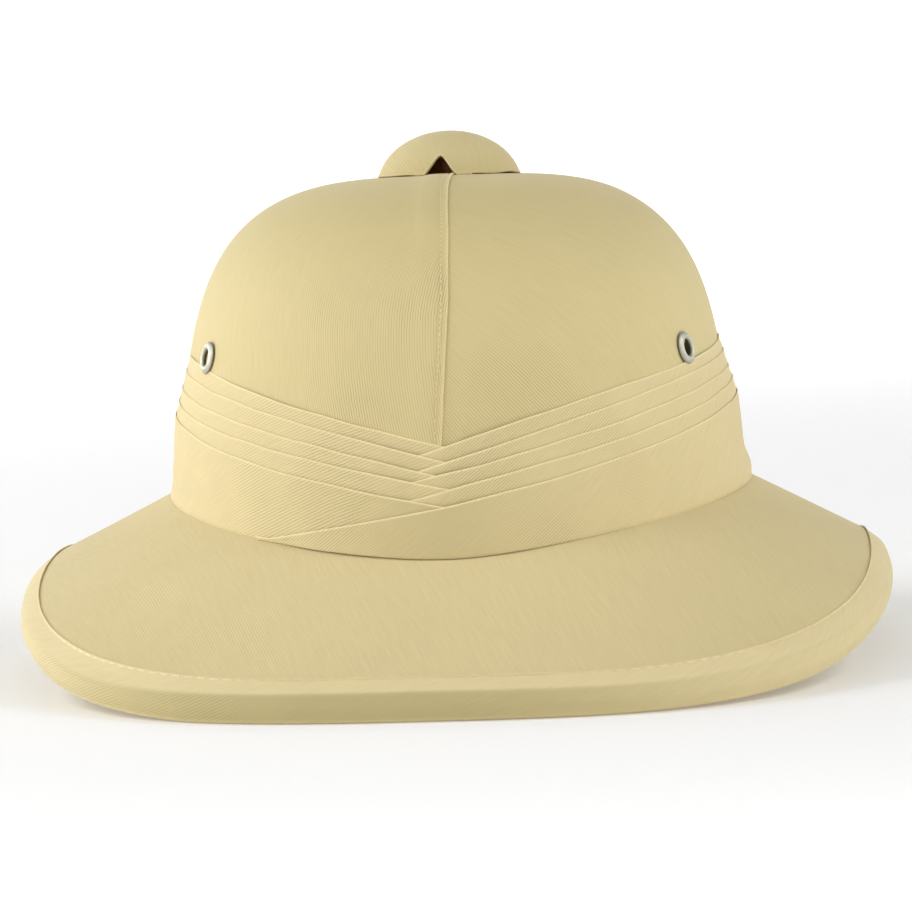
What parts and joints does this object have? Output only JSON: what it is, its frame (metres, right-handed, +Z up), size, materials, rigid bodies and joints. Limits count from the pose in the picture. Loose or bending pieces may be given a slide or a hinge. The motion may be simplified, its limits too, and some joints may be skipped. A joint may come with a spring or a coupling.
{
  "type": "pith helmet",
  "caption": "Cloth-covered pith helmet: domed crown, wide brim arched at the sides, pleated band, domed vent cap and metal eyelets, hollow for a head.",
  "frame": {"origin": "on the surface that the helmet stands on, under the middle of the brim", "axes": "+Z up; -Y is the front of the helmet; +X is to the right of someone who faces the front"},
  "size_m": [0.2806, 0.3522, 0.1724],
  "materials": {
    "crown_cloth": "matte cotton twill, pale khaki",
    "brim_cloth": "matte cotton twill, pale khaki",
    "binding_cloth": "matte cotton twill cut on the bias, pale khaki",
    "band_cloth": "matte pleated cotton twill, pale khaki",
    "cap_cloth": "matte cotton twill, pale khaki",
    "post_paint": "matte dark red-brown",
    "eyelet_metal": "satin silvery metal"
  },
  "bodies": {
    "root": {"crown_shell": "crown_cloth", "brim_shell": "brim_cloth", "brim_binding": "binding_cloth", "puggaree": "band_cloth", "vent_cap": "cap_cloth", "cap_post": "post_paint", "eyelet_left": "eyelet_metal", "eyelet_right": "eyelet_metal"}
  },
  "joints": []
}
